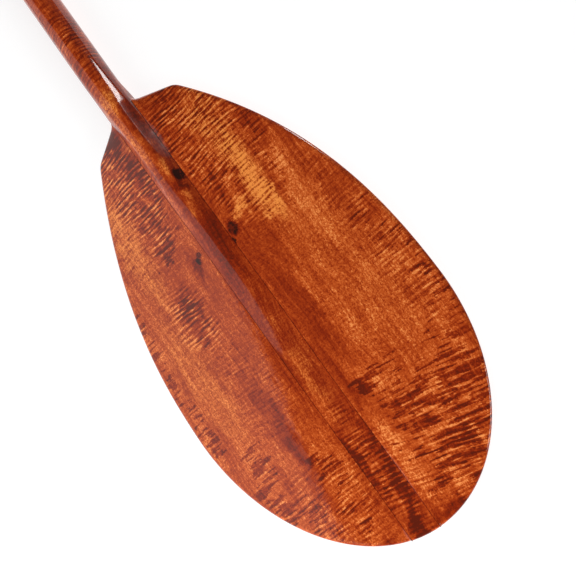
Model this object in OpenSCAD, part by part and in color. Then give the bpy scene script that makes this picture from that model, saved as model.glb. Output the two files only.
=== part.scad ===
// Single-bladed outrigger canoe paddle: one long shaft board whose flat end runs through the
// blade as its stringer, two blade wings glued to its sides, and a T-grip on its tenon.
// The paddle lies on its back: X runs from the grip to the tip, Z = 0 is the surface under it,
// and the origin is the middle of the base.

/* [Overall] */
// Length from the grip's crown to the blade's tip
paddle_length = 1524; // [1300:1:1700]
// Height of the shaft's centreline above the surface the paddle lies on
axis_height = 18; // [18:0.5:20]

/* [Shaft] */
// Diameter of the round shaft
shaft_d = 32; // [30:0.5:34]
// Half width of the stringer where it enters the blade
stringer_half_neck = 16.2; // [16:0.1:17]
// Half width of the stringer at the tip
stringer_half_tip = 15.5; // [13:0.5:16]
// Drop of the shaft's crest on its way to the neck
crest_drop = 2.5; // [0:0.5:4]
// Length over which the ridge on the face fades into the blade
ridge_run = 340; // [250:5:420]
// Length over which the shaft's underside fades into the blade's back
keel_run = 150; // [100:5:180]

/* [Blade] */
// Length of the blade from neck to tip
blade_length = 500; // [440:1:560]
// Full width of the blade at its widest
blade_width = 304; // [260:1:330]
// Distance from the neck to the widest station
widest_at = 312; // [280:1:340]
// Distance from the neck to the shoulder corners
shoulder_run = 20; // [15:1:35]
// Half width at the shoulder corners
shoulder_half = 60; // [50:1:75]
// Roundness of the side between shoulder and widest station
side_power = 2.3; // [1.8:0.1:2.8]
// Radius that eases the shoulder corners
shoulder_ease = 9; // [4:1:14]
// Thickness of the rim
rim_thickness = 4.8; // [4:0.1:7]
// Width of the rounding along the rim
rim_round = 3.6; // [2:0.1:5]

/* [Grip] */
// Width of the T-grip's crossbar
grip_width = 120; // [100:1:130]
// Radius of the crossbar at its middle
grip_r = 18; // [16:0.5:18]
// Radius of the crossbar where its ends start to round
grip_end_r = 15.5; // [14:0.5:17]
// Distance from the crossbar's axis to the grip's seat on the shaft
stem_length = 40; // [36:1:44]

/* [Joinery] */
// Radius of the shaft's tenon in the grip
tenon_r = 9; // [8:0.5:10]
// Length of the tenon
tenon_length = 40; // [30:1:44]
// Glue film around the tenon
glue_gap = 0.1; // [0.05:0.05:0.2]

/* [Hidden] */

tip_x = paddle_length / 2;
neck_x = tip_x - blade_length;
crown_x = -paddle_length / 2;
bar_x = crown_x + grip_r;
grip_seat_x = bar_x + stem_length;
shaft_r = shaft_d / 2;
half_width = blade_width / 2;
tip_run = blade_length - widest_at;

koa = [0.62, 0.29, 0.11];
koa_light = [0.74, 0.38, 0.15];

// Rise of the blade's back at the neck, and the run over which it falls to the surface
back_rise = 9;
back_run = 200;
// Rise of the blade's back at the tip, and the station where that rise begins
tip_rise = 3;
tip_rise_from = 350;
// Lift of a wing's back at half the blade's width from the seam
back_crown = 4.7;
// How quickly the face falls from the seam to the rim
face_power = 1.7;
// Blade thickness along the seam: [distance from the neck, thickness]
seam_stations = [[0, 10], [80, 13.2], [widest_at, 12], [blade_length, 5.6]];
// Length before the neck over which the round shaft takes up the stringer's square sides
neck_run = 30;
// Length before the neck over which the crest drops
crest_run = 60;
// How far before that drop the turned shaft ends, and how far it reaches into the carved part
turned_lead = 6;
carved_overlap = 2;
// Power of the ridge's bell-shaped section: round at the neck, narrow from bell_run onwards
bell_round = 0.5;
bell_narrow = 1.5;
bell_run = 220;
// Share of the spine's half width that is flat on top at the neck, and how crisp its edges are
spine_plateau = 0.4;
spine_edge = 10;
// Length over which the spine turns flat-topped, where it starts to round again, and over what run
spine_blend = 40;
spine_planed = 70;
spine_fade = 130;
// How far the carved end of the shaft stays inside its turned end where the two overlap
weld_inset = 0.06;

// Overlap of fused solids, and clearance past the end of the tenon
fuse = 1;
mortise_slack = 2;
// Gap that keeps the last ring of the shaft board from closing to a line
last_ring_gap = 0.02;

shoulder_steps = 5;
ease_steps = 5;
side_steps = 26;
tip_steps = 34;
across_steps = 9;
round_steps = 5;
profile_steps = 16;
carved_steps = 16;
blade_steps = 45;
bar_steps = 10;
cap_steps = 8;
flare_steps = 8;
turned_sides = 96;
tenon_sides = 72;

// ---- curves shared by the pieces; u runs from the neck to the tip ----

function smooth(a, b, t) = let (k = max(0, min(1, t))) a + (b - a) * k * k * (3 - 2 * k);

function station(list, u, i = 0) =
    u >= list[i + 1][0] && i < len(list) - 2
        ? station(list, u, i + 1)
        : smooth(list[i][1], list[i + 1][1], (u - list[i][0]) / (list[i + 1][0] - list[i][0]));

function stringer_half(u) =
    stringer_half_neck + (stringer_half_tip - stringer_half_neck) * max(0, u) / blade_length;
function back_z(u) = u < back_run
    ? back_rise * pow(1 - max(0, u) / back_run, 2)
    : tip_rise * pow(max(0, u - tip_rise_from) / (blade_length - tip_rise_from), 2);
function seam_thickness(u) = station(seam_stations, max(0, u));
function seam_top(u) = back_z(u) + seam_thickness(u);

// Half width of the blade's side between shoulder and widest station
function side_half(u) = half_width - (half_width - shoulder_half)
    * pow((widest_at - u) / (widest_at - shoulder_run), side_power);
function side_slope(u) = side_power * (half_width - shoulder_half) / (widest_at - shoulder_run)
    * pow((widest_at - u) / (widest_at - shoulder_run), side_power - 1);

// Rounding of the rim: 0 at the edge, 1 from rim_round inwards
function rim_factor(d) = sqrt(max(0, 1 - pow(1 - min(1, d / rim_round), 2)));

// ---- blade outline, as pairs of an edge point and the seam station it belongs to ----

// Share of the corner's easing that lies on the long side
ease_share = 0.8;
corner = [shoulder_run, shoulder_half];
neck_point = [0, stringer_half_neck];
shoulder_dir = (neck_point - corner) / norm(neck_point - corner);
ease_in = corner + shoulder_ease * shoulder_dir;
ease_out_u = shoulder_run + shoulder_ease * ease_share;
ease_out = [ease_out_u, side_half(ease_out_u)];
corner_seam_u = shoulder_run + side_slope(shoulder_run) * (shoulder_half - stringer_half_neck);
out_seam_u = ease_out_u + side_slope(ease_out_u) * (ease_out[1] - stringer_half(ease_out_u));
in_seam_u = corner_seam_u * ease_in[0] / shoulder_run;

// Distance from the stringer at which a wing's last rib ends
tip_gap = 0.2;

function bezier(a, b, c, t) = a * pow(1 - t, 2) + b * 2 * t * (1 - t) + c * t * t;
function ellipse_seam(a) = tip_run * sin(a)
    - (half_width * cos(a) - stringer_half_tip) * half_width / tip_run * tan(a);
tip_angle = acos((stringer_half_tip + tip_gap) / half_width);
// Place of a wing's first rib on the shoulder's edge, as a share of that edge
first_share = 0.06;

shoulder_edge = [for (i = [0:shoulder_steps]) let (
        t = first_share + (1 - first_share) * i / shoulder_steps)
    [neck_point + (ease_in - neck_point) * t, in_seam_u * t]];
ease_edge = [for (i = [1:ease_steps - 1]) let (t = i / ease_steps)
    [bezier(ease_in, corner, ease_out, t), in_seam_u + (out_seam_u - in_seam_u) * t]];
side_edge = [for (i = [0:side_steps - 1]) let (
        u = ease_out_u + (widest_at - ease_out_u) * i / side_steps, w = side_half(u))
    [[u, w], u + side_slope(u) * (w - stringer_half(u))]];
tip_edge = [for (i = [0:tip_steps]) let (a = tip_angle * i / tip_steps)
    [[widest_at + tip_run * sin(a), half_width * cos(a)], widest_at + ellipse_seam(a)]];
edge = concat(shoulder_edge, ease_edge, side_edge, tip_edge);

// ---- one rib of a wing: a closed loop of points from the seam out to the rim and back ----

function wing_thickness(seam_u, s) =
    rim_thickness + (seam_thickness(seam_u) - rim_thickness) * (1 - pow(s, face_power));
function wing_low(p) = back_z(p[0])
    + back_crown * pow((p[1] - stringer_half(p[0])) / half_width, 2);

// Largest share of a short rib that the rounding of the rim takes up
rounded_share = 0.6;
// Distances from the rim at which a rib is sampled, from the seam outwards
function rib_steps(reach) = let (r = min(rim_round, reach * rounded_share)) concat(
    [for (i = [0:across_steps - 1]) reach + (r - reach) * i / across_steps],
    [for (i = [0:round_steps - 1]) r * (1 - sin(90 * i / round_steps))]);

function rib(pair) = let (
        rim = pair[0], seam = [pair[1], stringer_half(pair[1])],
        reach = norm(rim - seam), steps = rib_steps(reach),
        shell = [for (d = steps) let (
                s = 1 - d / reach, p = seam + (rim - seam) * s,
                low = wing_low(p), top = low + wing_thickness(pair[1], s),
                mid = (top + low) / 2, f = rim_factor(d))
            [p[0], p[1], mid + (top - mid) * f, mid + (low - mid) * f]],
        edge_z = wing_low(rim) + rim_thickness / 2)
    concat([for (q = shell) [q[0], q[1], q[2]]],
           [[rim[0], rim[1], edge_z]],
           [for (i = [len(shell) - 1:-1:0]) [shell[i][0], shell[i][1], shell[i][3]]]);

// Skins a list of equal closed loops and caps both ends
module skin(loops) {
    n = len(loops[0]);
    m = len(loops);
    sides = [for (i = [0:m - 2], j = [0:n - 1], half = [0, 1]) let (k = (j + 1) % n)
        half == 0 ? [i * n + j, i * n + k, (i + 1) * n + k]
                  : [i * n + j, (i + 1) * n + k, (i + 1) * n + j]];
    caps = [[for (j = [n - 1:-1:0]) j], [for (j = [0:n - 1]) (m - 1) * n + j]];
    polyhedron(points = [for (loop = loops, p = loop) p], faces = concat(sides, caps), convexity = 6);
}

// ---- one ring of the shaft board: square sides, a ridge above and a keel below ----

function tip_u(y) = widest_at + tip_run * sqrt(1 - pow(y / half_width, 2));
function ridge(u) = u <= 0 ? 1 : pow(max(0, 1 - u / ridge_run), 2);
function keel(u) = u <= 0 ? 1 : pow(max(0, 1 - u / keel_run), 2);
function side_top(u) = u <= 0 ? smooth(axis_height, seam_top(0), 1 + u / neck_run) : seam_top(u);
function side_low(u) = u <= 0 ? smooth(axis_height, back_z(0), 1 + u / neck_run) : back_z(u);
function carved_r(u) = smooth(shaft_r - weld_inset, shaft_r, 1 + u / neck_run);
function carved_half(u) = smooth(shaft_r - weld_inset, stringer_half_neck, 1 + u / neck_run);
function crest_z(u) = axis_height + shaft_r - crest_drop * smooth(0, 1, 1 + u / crest_run);
function crest_rise(u) = u <= 0
    ? crest_z(u) - shaft_r + carved_r(u) - side_top(u)
    : ridge(u) * (crest_z(0) - seam_top(0));
function keel_drop(u) = u <= 0
    ? side_low(u) - axis_height + carved_r(u)
    : keel(u) * (back_z(0) - axis_height + shaft_r);
// Half-round near the neck, then a bell that meets the wings smoothly
function ridge_power(u) = smooth(bell_round, bell_narrow, u / bell_run);
// Flat top with steep flanks, from 0 at the seams to 1
function planed_lift(a) = let (x = (1 - abs(cos(a))) / (1 - spine_plateau))
    x / pow(1 + pow(x, spine_edge), 1 / spine_edge);
function planed_share(u) =
    smooth(0, 1, (u + neck_run) / spine_blend) * smooth(1, 0, (u - spine_planed) / spine_fade);
function spine_lift(a, u) = let (bell = pow(sin(a), 2 * ridge_power(u)))
    bell + (planed_lift(a) - bell) * planed_share(u);

function ring(u) = let (
        h = u <= 0 ? carved_half(u) : stringer_half(u),
        d = blade_length - u, f = rim_factor(d),
        mid = (side_top(u) + side_low(u)) / 2,
        pull = pow(max(0, u) / blade_length, 2))
    concat(
        [for (i = [0:profile_steps]) let (
                a = 180 * i / profile_steps, y = h * cos(a),
                z = side_top(u) + crest_rise(u) * spine_lift(a, u))
            [u - (blade_length - tip_u(y)) * pull, -y, mid + (z - mid) * f]],
        [for (i = [0:profile_steps]) let (
                a = 180 * i / profile_steps, y = h * cos(a),
                z = side_low(u) - keel_drop(u) * pow(sin(a), 2 * ridge_power(u)))
            [u - (blade_length - tip_u(y)) * pull, y, mid + (z - mid) * f]]);

carved_run = crest_run + turned_lead + carved_overlap;
ring_u = concat([for (i = [0:carved_steps - 1]) -carved_run * (1 - i / carved_steps)],
                [for (i = [0:blade_steps - 1]) (blade_length - rim_round) * i / blade_steps],
                [for (i = [0:round_steps - 1])
                    blade_length - rim_round * (1 - sin(90 * i / round_steps))],
                [blade_length - last_ring_gap]);

// ---- pieces ----

module shaft() {
    turned_end_x = neck_x - crest_run - turned_lead;
    color(koa) {
        translate([grip_seat_x, 0, axis_height]) rotate([0, 90, 0])
            cylinder(r = shaft_r, h = turned_end_x - grip_seat_x, $fn = turned_sides);
        translate([grip_seat_x - tenon_length, 0, axis_height]) rotate([0, 90, 0])
            cylinder(r = tenon_r, h = tenon_length + fuse, $fn = tenon_sides);
        translate([neck_x, 0, 0])
            skin([for (u = ring_u) ring(u)]);
    }
}

module wing() {
    color(koa_light)
    translate([neck_x, 0, 0])
        skin([for (pair = edge) rib(pair)]);
}

module blade_wing_left() { mirror([0, 1, 0]) wing(); }
module blade_wing_right() { wing(); }

// Length of the crossbar's rounded ends, and of the plain run on each side of its middle
cap_length = 14;
bar_straight = grip_width / 2 - cap_length;
// Distance from the crossbar's axis at which the stem's flare begins
flare_from = 12;
// Inset of the stem's hidden start inside the crossbar
stem_inset = 0.5;
// Radius of the crossbar at distance y from its middle, up to where its end rounds off
function bar_r(y) = grip_r - (grip_r - grip_end_r) * pow(y / bar_straight, 2);
half_bar = concat([for (i = [0:bar_steps]) let (y = bar_straight * i / bar_steps) [bar_r(y), y]],
                  [for (i = [1:cap_steps - 1]) let (a = 90 * i / cap_steps)
                      [grip_end_r * cos(a), bar_straight + cap_length * sin(a)]]);

module t_grip() {
    flare = [for (i = [0:flare_steps]) let (t = i / flare_steps)
        [shaft_r + (grip_r - shaft_r) * (1 - t) * (1 - t),
         flare_from + (stem_length - flare_from) * t]];
    color(koa_light)
    difference() {
        union() {
            translate([bar_x, 0, axis_height]) rotate([-90, 0, 0])
                rotate_extrude($fn = turned_sides)
                    polygon(concat([[0, -grip_width / 2]],
                        [for (i = [len(half_bar) - 1:-1:1]) [half_bar[i][0], -half_bar[i][1]]],
                        half_bar, [[0, grip_width / 2]]));
            translate([bar_x, 0, axis_height]) rotate([0, 90, 0])
                rotate_extrude($fn = turned_sides)
                    polygon(concat([[0, 0], [grip_r - stem_inset, 0]], flare, [[0, stem_length]]));
        }
        translate([grip_seat_x - tenon_length - mortise_slack, 0, axis_height]) rotate([0, 90, 0])
            cylinder(r = tenon_r + glue_gap, h = tenon_length + mortise_slack + fuse,
                $fn = tenon_sides);
    }
}

shaft();
blade_wing_left();
blade_wing_right();
t_grip();
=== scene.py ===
"""Looks for a single-bladed koa canoe paddle: a shaft board that carries the stringer and its
ridge, two blade wings glued to it and a T-grip, all carved meshes in varnished curly koa.

Lengths are millimetres, except for bump heights and in the studio section, which are in metres.
u runs from the blade's neck to its tip, along +X.
"""

import math

import bmesh
import bpy
from mathutils import Matrix, Vector


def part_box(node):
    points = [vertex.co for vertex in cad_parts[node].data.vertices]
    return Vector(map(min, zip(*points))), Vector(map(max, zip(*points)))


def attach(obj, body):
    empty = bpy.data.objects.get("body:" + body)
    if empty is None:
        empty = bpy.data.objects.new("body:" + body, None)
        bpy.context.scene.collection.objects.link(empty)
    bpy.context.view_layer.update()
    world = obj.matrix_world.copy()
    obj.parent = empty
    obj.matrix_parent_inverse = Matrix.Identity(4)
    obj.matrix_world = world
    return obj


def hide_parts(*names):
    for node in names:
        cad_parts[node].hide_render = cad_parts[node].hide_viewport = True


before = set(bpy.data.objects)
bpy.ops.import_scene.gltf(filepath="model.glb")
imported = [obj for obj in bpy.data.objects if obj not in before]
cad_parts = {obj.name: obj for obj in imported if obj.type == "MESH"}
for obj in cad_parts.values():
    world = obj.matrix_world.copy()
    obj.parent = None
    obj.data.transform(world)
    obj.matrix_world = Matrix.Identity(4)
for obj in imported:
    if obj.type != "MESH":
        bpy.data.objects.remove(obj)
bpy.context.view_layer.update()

MM = 0.001


def span(node):
    """A CAD node's lowest and highest corners, in millimetres."""
    low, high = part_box(node)
    return [v / MM for v in low], [v / MM for v in high]


# ---------------------------------------------------------------- dimensions
SHAFT_LOW, SHAFT_HIGH = span("shaft")
GRIP_LOW, GRIP_HIGH = span("t_grip")

# the blade's outline
BLADE_LENGTH = 500.0
TIP_X = SHAFT_HIGH[0]
NECK_X = TIP_X - BLADE_LENGTH
HALF_WIDTH = span("blade_wing_right")[1][1]
WIDEST_AT = 312.0
TIP_RUN = BLADE_LENGTH - WIDEST_AT
SIDE_POWER = 2.3
SHOULDER_RUN = 20.0
SHOULDER_HALF = 60.0
SHOULDER_EASE = 6.0
SIDE_START = SHOULDER_RUN + 0.8 * SHOULDER_EASE
NECK_FILLET = 3.0
STRINGER_HALF_NECK = 16.2
STRINGER_HALF_TIP = 15.5

# the blade's thickness, its face and its back
SEAM_STATIONS = ((0, 10.0), (80, 13.2), (WIDEST_AT, 12.0), (BLADE_LENGTH, 5.6))
RIM_THICKNESS = 4.8
RIM_ROUND = 4.6
RIM_SHARE = 0.6
FACE_POWER = 1.7
BACK_RISE, BACK_RUN = 9.0, 200.0
BACK_CROWN = 4.7
TIP_RISE, TIP_RISE_FROM = 3.0, 350.0
SEAM_BEVEL = 0.25
BEVEL_SHARE = 0.1
BEVEL_RUN = 10.0

# the shaft, and the ridge and keel that it runs out into
SHAFT_R = 16.0
AXIS_Z = SHAFT_HIGH[2] - SHAFT_R
NECK_RUN = 30.0
CREST_DROP, CREST_DROP_RUN = 2.5, 60.0
RIDGE_RUN = 340.0
RIDGE_EASE = 14.0
KEEL_RUN = 150.0
NARROWING_RUN = 220.0
SPINE_PLATEAU = 0.40
SPINE_EDGE = 10
SPINE_LEAD, SPINE_BLEND = 40.0, 84.0
SPINE_PLANED, SPINE_FADE = 70.0, 130.0
SHAFT_BEVEL = 0.15

# the T-grip and the tenon that sits in it
GRIP_R = (GRIP_HIGH[2] - GRIP_LOW[2]) / 2
GRIP_HALF = GRIP_HIGH[1]
GRIP_END_X = GRIP_HIGH[0]
BAR_X = GRIP_LOW[0] + GRIP_R
BAR_END_R = 15.5
BAR_CAP = 14.0
TENON_R = 9.0
TENON_LENGTH = GRIP_END_X - SHAFT_LOW[0]
TENON_BEVEL = 0.6
MORTISE_SLACK = 0.1
MORTISE_SPARE = 2.0
CUT_RADIUS, CUT_DEPTH = 1.6 * GRIP_R, 6.0
GRIP_VOXEL = 0.9
GRIP_EASING = 14

# how finely the meshes are divided, and the small gaps that keep their points apart
FILLET_STEPS, SHOULDER_STEPS, CORNER_STEPS, SIDE_STEPS, TIP_STEPS = 8, 24, 12, 120, 120
FACE_STEPS, RIM_STEPS = 46, 12
HALF_RING_STEPS = 40
SHAFT_STEPS, CREST_STEPS, RIDGE_STEPS, END_STEPS = 60, 60, 240, 13
BAR_STEPS, STEM_STEPS, TURNED_STEPS, MORTISE_STEPS = 60, 30, 72, 64
FIRST_RIB_GAP, LAST_RIB_GAP, SEAM_SETBACK, LAST_RING_GAP = 0.05, 0.1, 0.02, 0.01
POINT_R = 0.05
CUT_POINT_R = 0.02
MERGE_DISTANCE = 0.002


# ---------------------------------------------------------------- curves of the blade
def clamp01(t):
    return max(0.0, min(1.0, t))


def smooth(a, b, t):
    """From a to b as t goes from 0 to 1, level at both ends."""
    k = clamp01(t)
    return a + (b - a) * k * k * (3 - 2 * k)


def bezier(a, b, c, t):
    return a * (1 - t) ** 2 + b * 2 * t * (1 - t) + c * t * t


def stringer_half(u):
    """Half width of the stringer between its glue lines."""
    return STRINGER_HALF_NECK + (STRINGER_HALF_TIP - STRINGER_HALF_NECK) * max(0.0, u) / BLADE_LENGTH


def back_z(u):
    """Height of the blade's back beside the keel: it rises towards the neck and a little at the tip."""
    if u < BACK_RUN:
        return BACK_RISE * (1 - max(0.0, u) / BACK_RUN) ** 2
    return TIP_RISE * (max(0.0, u - TIP_RISE_FROM) / (BLADE_LENGTH - TIP_RISE_FROM)) ** 2


def seam_thickness(u):
    """Thickness of the blade at the glue lines."""
    u = max(0.0, u)
    for (u0, t0), (u1, t1) in zip(SEAM_STATIONS, SEAM_STATIONS[1:]):
        if u <= u1:
            return smooth(t0, t1, (u - u0) / (u1 - u0))
    return SEAM_STATIONS[-1][1]


def seam_top(u):
    return back_z(u) + seam_thickness(u)


def side_half(u):
    """Half width of the blade between the shoulder and the widest station."""
    t = (WIDEST_AT - u) / (WIDEST_AT - SHOULDER_RUN)
    return HALF_WIDTH - (HALF_WIDTH - SHOULDER_HALF) * t ** SIDE_POWER


def side_slope(u):
    t = (WIDEST_AT - u) / (WIDEST_AT - SHOULDER_RUN)
    return SIDE_POWER * (HALF_WIDTH - SHOULDER_HALF) / (WIDEST_AT - SHOULDER_RUN) * t ** (SIDE_POWER - 1)


def side_seam(u):
    """Where on the seam a rib starts that meets the side squarely at u."""
    return u + side_slope(u) * (side_half(u) - stringer_half(u))


def tip_u(y):
    """Where the tip's half ellipse lies at a distance y from the middle."""
    return WIDEST_AT + TIP_RUN * math.sqrt(1 - (y / HALF_WIDTH) ** 2)


def rim_factor(depth, reach=RIM_ROUND):
    """Rounding of an edge: 0 on it, 1 from the depth reach inwards."""
    return math.sqrt(max(0.0, 1 - (1 - min(1.0, depth / reach)) ** 2))


# ---------------------------------------------------------------- the wings
def shoulder_edge():
    """(edge point, seam station) pairs over the neck's fillet, the shoulder and its corner."""
    corner = Vector((SHOULDER_RUN, SHOULDER_HALF))
    neck = Vector((0.0, STRINGER_HALF_NECK))
    inward = (neck - corner).normalized()
    ease_in = corner + SHOULDER_EASE * inward
    ease_out = Vector((SIDE_START, side_half(SIDE_START)))
    corner_seam = SHOULDER_RUN + side_slope(SHOULDER_RUN) * (SHOULDER_HALF - STRINGER_HALF_NECK)
    in_seam = corner_seam * ease_in.x / SHOULDER_RUN
    out_seam = side_seam(SIDE_START)
    fillet_start = Vector((-NECK_FILLET, STRINGER_HALF_NECK + FIRST_RIB_GAP))
    fillet_end = neck - inward * NECK_FILLET
    share = NECK_FILLET / (ease_in - neck).length
    pairs = []
    for i in range(FILLET_STEPS + 1):
        t = i / FILLET_STEPS
        seam = -NECK_FILLET + (NECK_FILLET + in_seam * share) * t - SEAM_SETBACK
        pairs.append((bezier(fillet_start, neck, fillet_end, t), seam))
    for i in range(1, SHOULDER_STEPS + 1):
        t = share + (1 - share) * i / SHOULDER_STEPS
        pairs.append((neck + (ease_in - neck) * t, in_seam * t))
    for i in range(1, CORNER_STEPS):
        t = i / CORNER_STEPS
        pairs.append((bezier(ease_in, corner, ease_out, t), in_seam + (out_seam - in_seam) * t))
    return pairs


def side_edge():
    """(edge point, seam station) pairs from the shoulder to the widest station."""
    stations = [SIDE_START + (WIDEST_AT - SIDE_START) * i / SIDE_STEPS for i in range(SIDE_STEPS)]
    return [(Vector((u, side_half(u))), side_seam(u)) for u in stations]


def tip_edge():
    """(edge point, seam station) pairs round the tip's quarter ellipse."""
    last_angle = math.acos((STRINGER_HALF_TIP + LAST_RIB_GAP) / HALF_WIDTH)
    pairs = []
    for i in range(TIP_STEPS + 1):
        a = last_angle * i / TIP_STEPS
        edge = Vector((WIDEST_AT + TIP_RUN * math.sin(a), HALF_WIDTH * math.cos(a)))
        seam = edge.x - (edge.y - STRINGER_HALF_TIP) * HALF_WIDTH / TIP_RUN * math.tan(a)
        pairs.append((edge, seam))
    return pairs


def wing_low(u, y):
    """Height of a wing's back, which rises from the seam to the rim."""
    return back_z(u) + BACK_CROWN * ((y - stringer_half(u)) / HALF_WIDTH) ** 2


def wing_thickness(seam_u, s):
    """Thickness at the share s of the way from the seam to the rim."""
    return RIM_THICKNESS + (seam_thickness(seam_u) - RIM_THICKNESS) * (1 - s ** FACE_POWER)


def wing_rib(edge, seam_u):
    """A closed loop round one rib of a wing, from the seam out to the rim and back."""
    seam = Vector((seam_u, stringer_half(seam_u)))
    reach = (edge - seam).length
    r = min(RIM_ROUND, reach * RIM_SHARE)
    bevel = min(SEAM_BEVEL, reach * BEVEL_SHARE)
    inner = reach - bevel
    depths = [reach, inner]
    depths += [inner + (r - inner) * i / FACE_STEPS for i in range(1, FACE_STEPS)]
    depths += [r * (1 - math.sin(math.pi / 2 * i / RIM_STEPS)) for i in range(RIM_STEPS)]
    top, low = [], []
    for i, depth in enumerate(depths):
        s = clamp01(1 - depth / reach)
        p = seam + (edge - seam) * s
        z0 = wing_low(p.x, p.y)
        z1 = z0 + wing_thickness(seam_u, s)
        if i == 0:
            z0, z1 = z0 + bevel, z1 - bevel
        middle_z = (z0 + z1) / 2
        f = rim_factor(depth, r)
        top.append((p.x, p.y, middle_z + (z1 - middle_z) * f))
        low.append((p.x, p.y, middle_z + (z0 - middle_z) * f))
    on_edge = (edge.x, edge.y, wing_low(edge.x, edge.y) + RIM_THICKNESS / 2)
    return top + [on_edge] + low[::-1]


# ---------------------------------------------------------------- the shaft board
def blend_in(a, b, u):
    """b from the neck on, a before the neck's run, and a smooth change between."""
    return smooth(a, b, 1 + u / NECK_RUN)


def bell_power(u):
    """Power of the sine that ridge and keel follow: round at the neck, narrower further on."""
    return 2 * smooth(0.5, 1.5, u / NARROWING_RUN)


def spine_lift(a, u):
    """Height of the ridge over the board, 0 to 1, at angle a round a ring: round on the shaft,
    flat-topped with steep flanks at the neck, and a narrow crest further on."""
    x = (1 - abs(math.cos(a))) / (1 - SPINE_PLATEAU)
    planed = x / (1 + x ** SPINE_EDGE) ** (1 / SPINE_EDGE)
    round_or_crest = math.sin(a) ** bell_power(u)
    share = smooth(0, 1, (u + SPINE_LEAD) / SPINE_BLEND) * smooth(1, 0, (u - SPINE_PLANED) / SPINE_FADE)
    return round_or_crest + (planed - round_or_crest) * share


def ridge_left(u):
    """How much of the ridge's height is left at u, 1 at the neck and 0 where it has run out."""
    eased = u * u / (2 * RIDGE_EASE) if u < RIDGE_EASE else u - RIDGE_EASE / 2
    return max(0.0, 1 - eased / (RIDGE_RUN - RIDGE_EASE / 2)) ** 2


def board_levels(u):
    """Half width, side heights above and below, ridge height and keel depth of a ring at u."""
    crest = AXIS_Z + SHAFT_R - CREST_DROP * smooth(0, 1, 1 + u / CREST_DROP_RUN)
    bottom = AXIS_Z - SHAFT_R
    if u <= 0:
        top = blend_in(AXIS_Z, seam_top(0), u)
        low = blend_in(AXIS_Z, back_z(0), u)
        return blend_in(SHAFT_R, STRINGER_HALF_NECK, u), top, low, crest - top, low - bottom
    keel_left = max(0.0, 1 - u / KEEL_RUN) ** 2
    rise = ridge_left(u) * (crest - seam_top(0))
    return stringer_half(u), seam_top(u), back_z(u), rise, keel_left * (back_z(0) - bottom)


def board_ring(u):
    """A closed ring round the shaft board at station u: ridge above, keel below."""
    half, top, low, rise, drop = board_levels(u)
    f = rim_factor(BLADE_LENGTH - u)
    middle_z = (top + low) / 2
    pull = (max(0.0, u) / BLADE_LENGTH) ** 2
    bevel = SEAM_BEVEL * clamp01(u / BEVEL_RUN)
    points = []
    for side in (1, -1):
        for i in range(HALF_RING_STEPS + 1):
            a = math.pi * i / HALF_RING_STEPS
            y = half * math.cos(a) * side
            if side > 0:
                z = top + rise * spine_lift(a, u)
            else:
                z = low - drop * math.sin(a) ** bell_power(u)
            if i in (0, HALF_RING_STEPS):
                z -= bevel * side
            points.append((u - (BLADE_LENGTH - tip_u(y)) * pull, y, middle_z + (z - middle_z) * f))
    return points


def round_ring(u, r):
    """A closed ring round the shaft, with as many points as a board ring."""
    ring = []
    for start in (0, math.pi):
        for i in range(HALF_RING_STEPS + 1):
            a = start + math.pi * i / HALF_RING_STEPS
            ring.append((u, r * math.cos(a), AXIS_Z + r * math.sin(a)))
    return ring


def shaft_rings():
    """All rings of the shaft board, from its tenon to the tip."""
    start = GRIP_END_X - NECK_X
    tenon_start = start - TENON_LENGTH
    rings = [
        round_ring(tenon_start, TENON_R - TENON_BEVEL),
        round_ring(tenon_start + TENON_BEVEL, TENON_R),
        round_ring(start, TENON_R),
        round_ring(start, SHAFT_R - SHAFT_BEVEL),
        round_ring(start + SHAFT_BEVEL, SHAFT_R),
    ]
    round_run = -CREST_DROP_RUN - start
    rings += [round_ring(start + round_run * i / SHAFT_STEPS, SHAFT_R) for i in range(1, SHAFT_STEPS)]
    rings += [board_ring(-CREST_DROP_RUN + CREST_DROP_RUN * i / CREST_STEPS) for i in range(CREST_STEPS)]
    body = BLADE_LENGTH - RIM_ROUND
    rings += [board_ring(body * i / RIDGE_STEPS) for i in range(RIDGE_STEPS)]
    for i in range(END_STEPS):
        rings.append(board_ring(BLADE_LENGTH - RIM_ROUND * (1 - math.sin(math.pi / 2 * i / END_STEPS))))
    rings.append(board_ring(BLADE_LENGTH - LAST_RING_GAP))
    return rings


# ---------------------------------------------------------------- meshes
def stand(name, data):
    """A new object in the scene."""
    made = bpy.data.objects.new(name, data)
    bpy.context.scene.collection.objects.link(made)
    return made


def loft(bm, rows):
    """Quads between closed rows of equally many points, and a cap on each end."""
    for a, b in zip(rows, rows[1:]):
        for j in range(len(a)):
            k = (j + 1) % len(a)
            bm.faces.new((a[j], a[k], b[k], b[j]))
    bm.faces.new(rows[0][::-1])
    bm.faces.new(rows[-1])


def finished(bm, name):
    """The object made of what the bmesh holds, with its normals outwards."""
    bmesh.ops.recalc_face_normals(bm, faces=bm.faces)
    mesh = bpy.data.meshes.new(name)
    bm.to_mesh(mesh)
    bm.free()
    return stand(name, mesh)


def skin(name, loops, mirror=False):
    """A closed quad mesh through equal loops of (u, y, z), with both ends capped."""
    bm = bmesh.new()
    side = -1 if mirror else 1
    rows = [[bm.verts.new(((u + NECK_X) * MM, y * side * MM, z * MM)) for u, y, z in loop] for loop in loops]
    loft(bm, rows)
    bmesh.ops.remove_doubles(bm, verts=bm.verts, dist=MERGE_DISTANCE * MM)
    for face in bm.faces:
        face.smooth = True
    return finished(bm, name)


def revolve(bm, profile, steps, place):
    """Turns (radius, place along the axis) pairs into a closed solid."""
    rows = []
    for r, t in profile:
        angles = [2 * math.pi * k / steps for k in range(steps)]
        rows.append([bm.verts.new([v * MM for v in place(r * math.cos(a), r * math.sin(a), t)])
                     for a in angles])
    loft(bm, rows)


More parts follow.
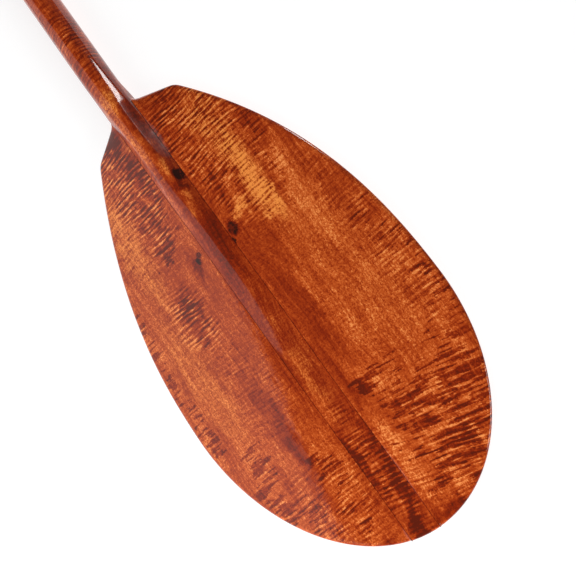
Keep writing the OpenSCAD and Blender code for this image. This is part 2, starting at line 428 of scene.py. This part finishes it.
def sharpen(piece, degrees=35):
    """Edges sharper than the angle stay crisp while the rest shades smoothly."""
    with bpy.context.temp_override(object=piece, active_object=piece, selected_objects=[piece],
                                   selected_editable_objects=[piece]):
        bpy.ops.object.shade_smooth_by_angle(angle=math.radians(degrees))


def apply_modifiers(piece):
    """Replaces a piece's mesh by what its modifiers make of it."""
    graph = bpy.context.evaluated_depsgraph_get()
    mesh = bpy.data.meshes.new_from_object(piece.evaluated_get(graph))
    piece.modifiers.clear()
    piece.data = mesh


def bar_profile():
    """The crossbar: thickest in the middle, with rounded ends."""
    straight = GRIP_HALF - BAR_CAP
    profile = []
    for i in range(-BAR_STEPS, BAR_STEPS + 1):
        y = GRIP_HALF * math.sin(math.pi / 2 * i / BAR_STEPS)
        if abs(y) <= straight:
            r = GRIP_R - (GRIP_R - BAR_END_R) * (y / straight) ** 2
        else:
            r = BAR_END_R * math.sqrt(max(0.0, 1 - ((abs(y) - straight) / BAR_CAP) ** 2))
        profile.append((max(r, POINT_R), y))
    return profile


def stem_profile():
    """The grip's stem: as thick as the bar where they meet, as thick as the shaft at its end."""
    shares = [i / STEM_STEPS for i in range(STEM_STEPS + 1)]
    return [(SHAFT_R + (GRIP_R - SHAFT_R) * (1 - s) ** 2, (GRIP_END_X - BAR_X) * s) for s in shares]


def mortise_cutter():
    """The blind hole for the tenon, and a plane cut where the grip meets the shaft."""
    bottom = GRIP_END_X - TENON_LENGTH - MORTISE_SPARE
    hole_r = TENON_R + MORTISE_SLACK
    profile = [
        (CUT_POINT_R, bottom),
        (hole_r, bottom),
        (hole_r, GRIP_END_X),
        (CUT_RADIUS, GRIP_END_X),
        (CUT_RADIUS, GRIP_END_X + CUT_DEPTH),
        (CUT_POINT_R, GRIP_END_X + CUT_DEPTH),
    ]
    bm = bmesh.new()
    revolve(bm, profile, MORTISE_STEPS, lambda a, b, t: (t, a, AXIS_Z + b))
    return finished(bm, "mortise")


def make_grip():
    """The T-grip: a swelling crossbar that runs into the shaft through soft fillets."""
    bm = bmesh.new()
    revolve(bm, bar_profile(), TURNED_STEPS, lambda a, b, t: (BAR_X + a, t, AXIS_Z + b))
    revolve(bm, stem_profile(), TURNED_STEPS, lambda a, b, t: (BAR_X + t, a, AXIS_Z + b))
    piece = finished(bm, "grip")
    remesh = piece.modifiers.new("remesh", "REMESH")
    remesh.mode = "VOXEL"
    remesh.voxel_size = GRIP_VOXEL * MM
    apply_modifiers(piece)
    # ease the inner corners between bar and stem, then cut the end face flat on the shaft
    easing = piece.modifiers.new("ease", "SMOOTH")
    easing.factor = 0.5
    easing.iterations = GRIP_EASING
    apply_modifiers(piece)
    cutter = mortise_cutter()
    cut = piece.modifiers.new("mortise", "BOOLEAN")
    cut.operation = "DIFFERENCE"
    cut.solver = "EXACT"
    cut.object = cutter
    apply_modifiers(piece)
    bpy.data.objects.remove(cutter, do_unlink=True)
    # the voxels may stand a hair proud of the grip's own size
    for v in piece.data.vertices:
        v.co.x = max(v.co.x, GRIP_LOW[0] * MM)
        v.co.z = min(max(v.co.z, GRIP_LOW[2] * MM), GRIP_HIGH[2] * MM)
    for polygon in piece.data.polygons:
        polygon.use_smooth = True
    sharpen(piece, degrees=40)
    return piece


# ---------------------------------------------------------------- shader building blocks
class Graph:
    """Short calls for building one material's node tree."""

    def __init__(self, name):
        self.material = bpy.data.materials.new(name)
        self.material.use_nodes = True
        self.tree = self.material.node_tree
        self.tree.nodes.clear()

    def node(self, kind, **settings):
        made = self.tree.nodes.new(kind)
        for key, value in settings.items():
            setattr(made, key, value)
        return made

    def put(self, socket, value):
        """Links a socket to the value, or sets it where the value is a constant."""
        if isinstance(value, bpy.types.NodeSocket):
            self.tree.links.new(value, socket)
        else:
            socket.default_value = value

    def fill(self, node, *values):
        for socket, value in zip(node.inputs, values):
            self.put(socket, value)
        return node.outputs[0]

    def math(self, operation, a, b=0.0, c=0.0, clamp=False):
        return self.fill(self.node("ShaderNodeMath", operation=operation, use_clamp=clamp), a, b, c)

    def add(self, *values):
        total = values[0]
        for value in values[1:]:
            total = self.math("ADD", total, value)
        return total

    def mul(self, *values):
        total = values[0]
        for value in values[1:]:
            total = self.math("MULTIPLY", total, value)
        return total

    def clamped(self, value):
        return self.math("ADD", value, 0.0, clamp=True)

    def swing(self, value, amount):
        """The value about its middle, times an amount."""
        return self.math("MULTIPLY_ADD", value, amount, -0.5 * amount)

    def span(self, value, low, high, to_low=0.0, to_high=1.0):
        """The value's place between low and high, eased, as a number between two others."""
        node = self.node("ShaderNodeMapRange", interpolation_type="SMOOTHSTEP")
        return self.fill(node, value, low, high, to_low, to_high)

    def noise(self, x, y, z, detail, roughness, distortion, seed):
        """Noise between 0 and 1 at coordinates already divided by the wanted feature sizes."""
        node = self.node("ShaderNodeTexNoise", noise_dimensions="4D")
        self.put(node.inputs["Vector"], self.fill(self.node("ShaderNodeCombineXYZ"), x, y, z))
        for key, value in (("W", seed), ("Scale", 1.0), ("Detail", detail), ("Roughness", roughness),
                           ("Distortion", distortion)):
            self.put(node.inputs[key], value)
        return node.outputs["Fac"]

    def ramp(self, value, stops):
        node = self.node("ShaderNodeValToRGB")
        node.color_ramp.interpolation = "EASE"
        while len(node.color_ramp.elements) < len(stops):
            node.color_ramp.elements.new(0.5)
        for element, (place, colour) in zip(node.color_ramp.elements, stops):
            element.position = place
            element.color = (*colour, 1)
        return self.fill(node, value)

    def mix(self, share, a, b):
        node = self.node("ShaderNodeMix", data_type="RGBA")
        self.put(node.inputs["Factor"], share)
        self.put(node.inputs[6], a)
        self.put(node.inputs[7], b)
        return node.outputs[2]

    def bump(self, height, strength, distance):
        node = self.node("ShaderNodeBump")
        for key, value in (("Strength", strength), ("Distance", distance), ("Height", height)):
            self.put(node.inputs[key], value)
        return node.outputs[0]

    def patches(self, u, y, spots):
        """Sum of soft-edged elliptical patches, each (u, y, half length, half width, amount)."""
        total = 0.0
        for u0, y0, half_u, half_y, amount in spots:
            du = self.mul(self.math("SUBTRACT", u, u0), 1 / half_u)
            dy = self.mul(self.math("SUBTRACT", y, y0), 1 / half_y)
            distance = self.add(self.mul(du, du), self.mul(dy, dy))
            soft = self.math("EXPONENT", self.mul(distance, distance, -1.0))
            total = self.math("MULTIPLY_ADD", soft, amount, total)
        return total


# Noise layers of the wood: the length and width of a feature in mm, then detail, roughness and
# distortion, and a seed that keeps each layer apart from the others
LAYERS = {
    "wander": (22, 22, 4.0, 0.65, 0.0, 0),
    "drift": (48, 60, 0.0, 0.5, 0.0, 1),
    "flame": (2.9, 30, 3.0, 0.55, 0.12, 3),
    "fine": (1.9, 14, 3.0, 0.6, 0.0, 5),
    "streak": (130, 3.6, 4.0, 0.6, 0.0, 7),
    "line": (40, 0.8, 2.0, 0.5, 0.0, 9),
    "mottle": (2.2, 1.5, 3.0, 0.7, 0.9, 11),
    "fleck": (4.0, 0.7, 1.0, 0.5, 0.0, 13),
    "cloud": (42, 14, 3.0, 0.6, 0.3, 15),
    "film": (22, 16, 2.0, 0.5, 0.0, 17),
    "clumps": (16, 17, 3.0, 0.6, 0.3, 19),
    "wobble": (20, 40, 1.0, 0.5, 0.0, 21),
}

# Koa under varnish, from its darkest figure to its brightest curl
KOA_TONES = (
    (0.00, (0.030, 0.006, 0.003)),
    (0.15, (0.110, 0.011, 0.003)),
    (0.32, (0.215, 0.016, 0.002)),
    (0.50, (0.340, 0.037, 0.004)),
    (0.66, (0.480, 0.071, 0.009)),
    (0.82, (0.650, 0.130, 0.024)),
    (1.00, (0.900, 0.300, 0.080)),
)
HEARTWOOD = (0.88, 0.29, 0.055, 1)

# how far noise moves the edges of zones, the grain, the curl and the edges of knots, in mm
ZONE_WANDER_U, ZONE_WANDER_Y = 46.0, -40.0
GRAIN_DRIFT, GRAIN_WANDER = 12.0, 3.0
CURL_DRIFT, CURL_FRAY, COMB_WOBBLE = 8.0, 2.2, 10.0
KNOT_FRAY_U, KNOT_FRAY_Y = 20.0, 6.0

# the figure's own measures in mm, and the bent grain's reach and a core's width in sizes of a knot
COMB_PERIOD = 4.7
LEAN_FROM, LEAN_TO = 280.0, 420.0
GLUE_LINE = 0.55
NECK_BLEND = 4.0
KNOT_BEND = 8.0
BEND_LENGTH, BEND_WIDTH, CORE_WIDTH = 5.0, 2.4, 0.75

# how much each thing lightens the wood, or darkens it, on the scale of KOA_TONES
CLOUD_TONE, STREAK_TONE, LINE_TONE, MOTTLE_TONE, FINE_TONE = 0.62, 0.55, 0.25, 1.0, 0.36
EVEN_BARS, FINE_BARS, BARS_TONE = 0.22, 2.3, -0.04
FLAME_TONE, FLAME_RIPPLE, TIGER_TONE = -0.32, -0.6, 0.12
FLECK_TONE, KNOT_TONE, GLUE_TONE = -0.10, -0.46, -0.34
DARKEST_GRAIN = 0.16

# the most that overlapping patches of figure add up to
COMB_MOST, TIGER_MOST = 1.5, 1.3

# where noise begins to count and where it counts fully, with the numbers it gives there if they
# aren't 0 and 1
COMB_CLUMPS = (0.36, 0.56, 0.35, 1.0)
GOLD_CLUMPS = (0.30, 0.55, 0.35, 1.0)
GOLD_SHADES = (0.40, 1.0)
BRIGHT_MOTTLE = (0.40, 0.75, 0.75, 1.75)
TIGER_EDGE = (0.0, 0.35)
FLAME_EDGE = (-0.008, 0.014)
FLECK_EDGE = (0.60, 0.70)
CORE_EDGE = (0.1, 0.9)
WOOD_ROUGHNESS = (0.2, 1.0, 0.36, 0.58)

# flames are where a sum of two noises passes a level, which is lower the more tiger there is
FLAME_SHARE, CLUMP_SHARE = 0.62, 0.38
FLAME_LEVEL, FLAME_EASE = 0.604, -0.11

# the varnish, and the height of the wood's relief and of the varnish's waves, in metres
WOOD_SPECULAR = 0.04
COAT_ROUGHNESS, COAT_IOR = 0.08, 1.5
RELIEF_STRENGTH, RELIEF_HEIGHT = 0.25, 0.0002
FILM_STRENGTH, FILM_HEIGHT = 0.30, 0.0006


class Wood(Graph):
    """A node tree that knows its piece's own coordinates: u along the blade, y across, z up."""

    def __init__(self, name, seed):
        super().__init__(name)
        self.seed = seed
        split = self.node("ShaderNodeSeparateXYZ")
        self.put(split.inputs[0], self.node("ShaderNodeTexCoord").outputs["Object"])
        self.u = self.math("MULTIPLY_ADD", split.outputs[0], 1 / MM, -NECK_X)
        self.y = self.mul(split.outputs[1], 1 / MM)
        self.z = self.mul(split.outputs[2], 1 / MM)

    def layer(self, kind, along=None, over=None):
        """One of LAYERS, laid over the piece's own coordinates or over others."""
        length, width, detail, roughness, distortion, offset = LAYERS[kind]
        along = self.u if along is None else along
        over = self.y if over is None else over
        return self.noise(self.mul(along, 1 / length), self.mul(over, 1 / width), self.mul(self.z, 1 / width),
                          detail, roughness, distortion, self.seed + offset)


def comb_curl(g, across, comb_at, clumps):
    """Fine even bars: their swing, where they show, and the fine noise they are made with."""
    wobble = g.layer("wobble", along=across)
    waves = g.math("SINE", g.mul(g.add(across, g.swing(wobble, COMB_WOBBLE)), 2 * math.pi / COMB_PERIOD))
    fine = g.layer("fine", along=across)
    bars = g.add(g.mul(waves, EVEN_BARS), g.swing(fine, FINE_BARS))
    return bars, g.mul(comb_at, g.span(clumps, *COMB_CLUMPS)), fine


def tiger_flames(g, flame, tiger_at, clumps):
    """Broad tapering flames, cut out of two noises where the tiger figure is."""
    figure = g.add(g.mul(flame, FLAME_SHARE), g.mul(clumps, CLUMP_SHARE))
    level = g.math("MULTIPLY_ADD", tiger_at, FLAME_EASE, FLAME_LEVEL)
    inside = g.span(g.math("SUBTRACT", figure, level), *FLAME_EDGE)
    return g.mul(inside, g.span(tiger_at, *TIGER_EDGE))


def add_knots(g, shade, knots, wander, mottle):
    """Darkens the wood at each knot's ragged core."""
    ragged_u = g.add(g.u, g.swing(wander, KNOT_FRAY_U))
    ragged_y = g.add(g.y, g.swing(mottle, KNOT_FRAY_Y))
    for ku, ky, size, _ in knots:
        core = g.patches(ragged_u, ragged_y, [(ku, ky, size, size * CORE_WIDTH, 1.0)])
        shade = g.add(shade, g.mul(g.span(core, *CORE_EDGE), KNOT_TONE))
    return shade


def add_glue_line(g, shade, side):
    """Darkens a hair's width at the glue lines, outside them for side 1 and inside for side -1."""
    half = g.math("MULTIPLY_ADD", g.u, (STRINGER_HALF_TIP - STRINGER_HALF_NECK) / BLADE_LENGTH,
                  STRINGER_HALF_NECK)
    gap = g.mul(g.math("SUBTRACT", g.math("ABSOLUTE", g.y), half), side)
    in_blade = g.span(g.u, -NECK_BLEND, NECK_BLEND)
    return g.add(shade, g.mul(g.span(gap, GLUE_LINE, 0.0), in_blade, GLUE_TONE))


def varnished(g, colour, roughness, relief, film):
    """The material: this colour and relief under a clear glossy coat with the film's waves."""
    shader = g.node("ShaderNodeBsdfPrincipled")
    g.put(shader.inputs["Base Color"], colour)
    g.put(shader.inputs["Roughness"], roughness)
    shader.inputs["Specular IOR Level"].default_value = WOOD_SPECULAR
    shader.inputs["Coat Weight"].default_value = 1.0
    shader.inputs["Coat Roughness"].default_value = COAT_ROUGHNESS
    shader.inputs["Coat IOR"].default_value = COAT_IOR
    g.put(shader.inputs["Normal"], g.bump(relief, RELIEF_STRENGTH, RELIEF_HEIGHT))
    g.put(shader.inputs["Coat Normal"], g.bump(film, FILM_STRENGTH, FILM_HEIGHT))
    g.put(g.node("ShaderNodeOutputMaterial").inputs[0], shader.outputs[0])
    return g.material


def koa(name, seed, comb, tiger, tone_and_painted_shade, gold, knots, seam=0, skew=0.0, base=0.58, lean=(0.0, 0.0)):
    """Varnished curly koa.

    comb and tiger are patches in the piece's own (u, y) where fine even curl and broad dark flames
    cross the grain, tone where the wood is darker or lighter, and a few patches of painted shade,
    gold where it turns golden. knots are (u, y, size, bend of the grain). lean tilts the curl, near
    the neck and near the tip, and skew the grain. seam is 1 outside a glue line, -1 inside, 0 where
    there is none.
    """
    g = Wood(name, seed)
    u, y, swing = g.u, g.y, g.swing

    # slow drift of the curl, and a rougher wander that keeps the zones' edges irregular
    drift = g.layer("drift")
    wander = g.layer("wander")
    zone_u = g.add(u, swing(wander, ZONE_WANDER_U))
    zone_y = g.add(y, swing(wander, ZONE_WANDER_Y))

    # grain lines bend round the knots
    bends = [(ku, ky, BEND_LENGTH * size, BEND_WIDTH * size, bend) for ku, ky, size, bend in knots]
    grain_y = g.add(y, g.mul(g.patches(u, y, bends), KNOT_BEND), swing(drift, GRAIN_DRIFT),
                    swing(wander, GRAIN_WANDER), g.mul(u, skew))
    mottle = g.layer("mottle", over=grain_y)
    line = g.layer("line", over=grain_y)
    flecks = g.span(g.layer("fleck", over=grain_y), *FLECK_EDGE)

    # curl across the grain
    tilt = g.span(u, LEAN_FROM, LEAN_TO, *lean)
    across = g.add(u, g.mul(y, tilt), swing(drift, CURL_DRIFT), swing(mottle, CURL_FRAY))
    clumps = g.layer("clumps")
    comb_at = g.math("MINIMUM", g.patches(zone_u, zone_y, comb), COMB_MOST)
    bars, bars_here, fine = comb_curl(g, across, comb_at, clumps)
    tiger_at = g.math("MINIMUM", g.patches(zone_u, zone_y, tiger), TIGER_MOST)
    flame = g.layer("flame", along=across)
    flames = tiger_flames(g, flame, tiger_at, clumps)

    # the tone patches hold the wood's own darker and lighter tone, and a few patches of painted shade
    body = g.add(base, g.patches(zone_u, zone_y, tone_and_painted_shade), swing(g.layer("cloud"), CLOUD_TONE),
                 swing(g.layer("streak", over=grain_y), STREAK_TONE))
    shade = g.add(
        body,
        swing(line, LINE_TONE),
        g.mul(swing(mottle, MOTTLE_TONE), g.span(body, *BRIGHT_MOTTLE)),
        swing(fine, FINE_TONE),
        g.mul(bars, bars_here),
        g.mul(bars_here, BARS_TONE),
        g.mul(flames, FLAME_TONE),
        g.mul(tiger_at, swing(flame, FLAME_RIPPLE)),
        g.mul(tiger_at, TIGER_TONE),
        g.mul(flecks, FLECK_TONE),
    )
    shade = g.math("MAXIMUM", shade, DARKEST_GRAIN)
    shade = add_knots(g, shade, knots, wander, mottle)
    if seam:
        shade = add_glue_line(g, shade, seam)
    colour = g.ramp(g.clamped(shade), KOA_TONES)

    # golden heartwood: yellower than the ramp's own orange
    gilt = g.clamped(g.patches(zone_u, zone_y, gold))
    golden = g.mul(g.span(shade, *GOLD_SHADES), g.span(clumps, *GOLD_CLUMPS), gilt)
    roughness = g.span(g.add(mottle, g.mul(flecks, 0.3)), *WOOD_ROUGHNESS)
    relief = g.add(g.mul(line, 0.5), g.mul(flecks, -1.0), g.mul(flame, 0.6))
    film = g.add(g.layer("film"), g.mul(line, 0.03))
    return varnished(g, g.mix(golden, colour, HEARTWOOD), roughness, relief, film)


def right_wing_wood():
    return koa(
        "koa_wing_right", 2.0,
        comb=[
            (64, 52, 56, 40, 1.15), (128, 36, 30, 20, 0.6), (110, 94, 60, 12, 0.7), (158, 58, 22, 26, 0.4),
            (300, 134, 80, 16, 0.5), (440, 66, 60, 50, 0.6), (210, 122, 60, 14, 0.45), (152, 68, 40, 15, 0.5),
        ],
        tiger=[
            (412, 66, 58, 38, 1.2), (356, 40, 14, 16, 1.0), (395, 116, 46, 18, 1.2),
            (474, 56, 18, 34, 0.6), (300, 142, 60, 10, 0.7), (306, 138, 4, 14, 0.9),
        ],
        tone_and_painted_shade=[
            # (60, 21): painted shadow of the ridge on the wing beside the glue line, where the main lamp
            # casts none
            (262, 27, 95, 13, -0.14), (60, 21, 60, 8, -0.14), (104, 98, 34, 8, -0.18),
            (165, 112, 40, 5, -0.10), (22, 46, 12, 26, -0.10), (492, 38, 9, 24, -0.34),
            (146, 68, 40, 11, 0.20), (176, 74, 12, 8, 0.16), (158, 44, 8, 13, 0.16), (440, 27, 62, 9, 0.16),
            (280, 84, 90, 32, 0.08), (358, 28, 12, 12, -0.16), (140, 34, 26, 7, -0.06),
            (255, 43, 90, 3, -0.12), (90, 58, 40, 12, 0.08), (180, 104, 60, 14, 0.18),
            (300, 122, 60, 12, 0.08), (135, 90, 10, 8, 0.08),
        ],
        gold=[
            (142, 68, 46, 13, 0.95), (75, 66, 44, 16, 0.5), (176, 74, 14, 9, 0.7), (158, 44, 8, 14, 0.8),
            (260, 100, 90, 40, 0.10),
        ],
        knots=[(166, 23, 8.5, 1.0), (176, 15, 4.5, 0.4)],
        seam=1, lean=(0.0, -0.13))


def left_wing_wood():
    return koa(
        "koa_wing_left", 5.0,
        comb=[
            (62, -48, 58, 34, 1.5), (132, -54, 20, 22, 1.0), (210, -74, 36, 26, 1.3),
            (110, -100, 60, 14, 0.35), (300, -60, 60, 40, 0.3), (440, -60, 50, 50, 0.6),
            (70, -30, 60, 10, 0.6),
        ],
        tiger=[
            (190, -136, 60, 10, 1.0), (410, -110, 56, 15, 1.1), (425, -44, 50, 18, 0.75),
            (445, -84, 34, 14, 0.7), (305, -138, 50, 10, 0.8), (138, -56, 12, 16, 1.0),
            (186, -66, 20, 14, 0.8), (250, -140, 10, 12, 1.0), (360, -104, 20, 16, 0.6),
        ],
        tone_and_painted_shade=[
            (138, -54, 9, 12, -0.34), (192, -63, 24, 12, -0.22), (206, -70, 32, 16, -0.08),
            (177, -36, 9, 5, -0.20), (152, -50, 12, 7, -0.14), (60, -28, 48, 10, -0.18),
            # (12, -32): painted shade in the hollow of the left shoulder beside the neck
            (110, -44, 30, 5, -0.14), (385, -58, 80, 9, -0.14), (12, -32, 13, 18, -0.34),
            (34, -32, 26, 9, -0.12), (42, -25, 34, 7, -0.14), (116, -88, 66, 14, 0.12),
            (260, -106, 90, 26, 0.08), (235, -28, 70, 10, -0.04), (110, -106, 4, 7, -0.2),
            (492, -38, 6, 10, -0.2), (330, -60, 60, 8, -0.08),
        ],
        gold=[(110, -86, 66, 18, 0.6), (260, -106, 80, 24, 0.35)],
        knots=[(165, -24, 4.2, -0.5), (170, -28, 4.2, -0.4)],
        seam=1, lean=(0.0, 0.12))


def shaft_wood():
    return koa(
        "koa_shaft", 9.0,
        comb=[(440, 0, 75, 18, 0.8), (-75, -4, 50, 30, 0.6), (50, -8, 60, 10, 0.3)],
        tiger=[],
        tone_and_painted_shade=[
            (175, 0, 34, 20, -0.13), (250, 0, 50, 20, -0.05), (-42, -4, 13, 14, -0.10),
            (100, 10, 12, 6, -0.22), (82, 3, 8, 4, 0.14), (124, 4, 24, 4, 0.12),
            (165, -3, 55, 6, -0.07), (392, 12, 26, 4, -0.24), (425, 8, 26, 4, -0.30),
            (460, 4, 26, 5, -0.34), (492, -2, 20, 6, -0.36), (420, -11, 44, 4, -0.26),
            (200, -6, 30, 8, -0.06), (330, -10, 60, 5, 0.10), (20, -4, 44, 9, 0.16),
            # (50, 13) and (-60, 12): painted shade along the right flank of the ridge and of the shaft above
            # the neck
            (120, -12, 30, 5, 0.18), (50, 13, 70, 5, -0.19), (-84, 6, 3, 4, -0.30),
            (-60, 12, 50, 5, -0.12), (150, 8, 30, 7, -0.12),
        ],
        gold=[
            (280, 0, 90, 12, 0.7), (-5, -2, 14, 9, 0.9), (40, -4, 40, 10, 0.3), (122, 4, 28, 5, 0.6),
            (82, 3, 9, 5, 0.6), (165, -3, 55, 6, 0.4),
        ],
        knots=[(90, 12.5, 6.8, 0.3)],
        seam=-1, skew=0.14, base=0.48)


def grip_wood():
    middle = BAR_X - NECK_X
    return koa(
        "koa_grip", 13.0,
        comb=[(middle, 0, 60, 60, 0.8)],
        tiger=[(middle, 30, 60, 24, 0.7)],
        tone_and_painted_shade=[],
        gold=[(middle, -30, 30, 24, 0.4)],
        knots=[],
        base=0.56)


# ---------------------------------------------------------------- pieces
def give(piece, material, node):
    """Dresses a piece, and puts it in the place of its CAD node."""
    piece.data.materials.clear()
    piece.data.materials.append(material)
    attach(piece, "root")
    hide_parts(node)


ribs = [wing_rib(edge, seam) for edge, seam in shoulder_edge() + side_edge() + tip_edge()]

shaft = skin("shaft_board", shaft_rings())
sharpen(shaft, degrees=50)
give(shaft, shaft_wood(), "shaft")

wing_right = skin("wing_right", ribs)
sharpen(wing_right)
give(wing_right, right_wing_wood(), "blade_wing_right")

wing_left = skin("wing_left", ribs, mirror=True)
sharpen(wing_left)
give(wing_left, left_wing_wood(), "blade_wing_left")

grip = make_grip()
give(grip, grip_wood(), "t_grip")


# ---------------------------------------------------------------- studio, in metres
FLOOR_HALF, FLOOR_DROP = 6.0, 0.0004
FLOOR_GREY, FLOOR_GLOW = 0.48, 0.57
SKY_LIGHT, SKY_SEEN = 0.05, 0.60
CAMERA_AT = (0.5719, 0.2219, 0.4827)
CAMERA_RIGHT, CAMERA_UP = (0.5799, 0.7251, -0.3713), (-0.8049, 0.5805, -0.1234)
CAMERA_LENS, CAMERA_SENSOR = 34.3, 36.0
NECK_AIM = (NECK_X * MM, 0, 0.02)
MIDDLE_AIM = ((NECK_X + 250) * MM, 0, 0.01)
TIP_AIM = ((NECK_X + 450) * MM, 0.08, 0.01)
STRIP_ALONG = (0.92, 0.25, -0.30)


def placed(at, right, back):
    """The matrix of a camera or lamp that looks away from back, with right on its right."""
    return Matrix.Translation(at) @ Matrix((right, back.cross(right), back)).transposed().to_4x4()


def floor():
    """A plain pale floor a hair below the surface that the paddle lies on."""
    mesh = bpy.data.meshes.new("floor")
    corners = [(x * FLOOR_HALF, y * FLOOR_HALF, 0) for x, y in ((-1, -1), (1, -1), (1, 1), (-1, 1))]
    mesh.from_pydata(corners, [], [(0, 1, 2, 3)])
    piece = stand("floor", mesh)
    piece.location.z = -FLOOR_DROP
    g = Graph("floor_white")
    shader = g.node("ShaderNodeBsdfPrincipled")
    shader.inputs["Base Color"].default_value = (FLOOR_GREY, FLOOR_GREY, FLOOR_GREY, 1)
    shader.inputs["Roughness"].default_value = 0.9
    shader.inputs["Specular IOR Level"].default_value = 0.0
    shader.inputs["Emission Color"].default_value = (1, 1, 1, 1)
    shader.inputs["Emission Strength"].default_value = FLOOR_GLOW
    g.put(g.node("ShaderNodeOutputMaterial").inputs[0], shader.outputs[0])
    mesh.materials.append(g.material)


def lamp(name, aim, toward, distance, size, radiance, along=(1, 0, 0)):
    """A soft rectangular lamp that looks at aim from the direction toward, with its first side
    as near as it can be to along. radiance is in watts per square metre and steradian."""
    data = bpy.data.lights.new(name, "AREA")
    data.shape = "RECTANGLE"
    data.size, data.size_y = size
    data.energy = radiance * math.pi * size[0] * size[1]
    out = Vector(toward).normalized()
    across = Vector(along) - Vector(along).dot(out) * out
    made = stand(name, data)
    made.matrix_world = placed(Vector(aim) + out * distance, across.normalized(), out)
    return made


def lamps():
    """The photograph's soft light. Each lamp's place puts its reflection where the varnish shows it."""
    # the pale haze over the left wing and the ridge's left flank
    lamp("softbox_left", MIDDLE_AIM, (-0.132, -0.856, 0.500), 1.594, (3.2, 1.85), 0.76,
         (0.944, -0.327, -0.046))
    # the light on the face, and a little on the side of the grip, neither seen in the varnish
    main = lamp("main", MIDDLE_AIM, (0.70, -0.50, 0.51), 2.2, (0.6, 0.6), 51.5)
    main.data.use_shadow = False
    main.visible_glossy = False
    fill = lamp("fill_grip", NECK_AIM, (-0.86, 0.33, 0.38), 1.8, (0.5, 0.5), 14.0)
    fill.visible_glossy = False
    # the white streak on the shaft above the neck, its soft end and the sheen beyond it
    lamp("strip_right", NECK_AIM, (-0.493, 0.771, 0.392), 1.21, (0.14, 0.42), 11.5, STRIP_ALONG)
    lamp("strip_edge", NECK_AIM, (-0.474, 0.777, 0.386), 1.21, (0.22, 0.42), 3.0, STRIP_ALONG)
    lamp("strip_halo", NECK_AIM, (-0.447, 0.783, 0.377), 1.21, (0.30, 0.50), 0.32, STRIP_ALONG)
    # the thin bright line on the rim towards the tip
    lamp("rim_tip", TIP_AIM, (0.74, 0.54, 0.40), 1.6, (0.9, 0.30), 7.0, (-0.6, 0.8, 0))


def camera():
    """The photograph's view: close over the blade's right side, the shaft running up and left."""
    data = bpy.data.cameras.new("camera")
    data.sensor_width = CAMERA_SENSOR
    data.lens = CAMERA_LENS
    data.clip_start = 0.02
    right = Vector(CAMERA_RIGHT).normalized()
    back = right.cross(Vector(CAMERA_UP)).normalized()
    piece = stand("camera", data)
    piece.matrix_world = placed(CAMERA_AT, right, back)
    bpy.context.scene.camera = piece


def sky():
    """A dim even sky, which the camera itself sees as pale grey."""
    world = bpy.data.worlds.new("studio")
    world.use_nodes = True
    nodes, links = world.node_tree.nodes, world.node_tree.links
    nodes["Background"].inputs[0].default_value = (1, 1, 1, 1)
    strength = nodes.new("ShaderNodeMapRange")
    strength.inputs["To Min"].default_value = SKY_LIGHT
    strength.inputs["To Max"].default_value = SKY_SEEN
    links.new(nodes.new("ShaderNodeLightPath").outputs["Is Camera Ray"], strength.inputs["Value"])
    links.new(strength.outputs[0], nodes["Background"].inputs[1])
    bpy.context.scene.world = world


camera()
floor()
lamps()
sky()
bpy.context.scene.view_settings.view_transform = "Standard"
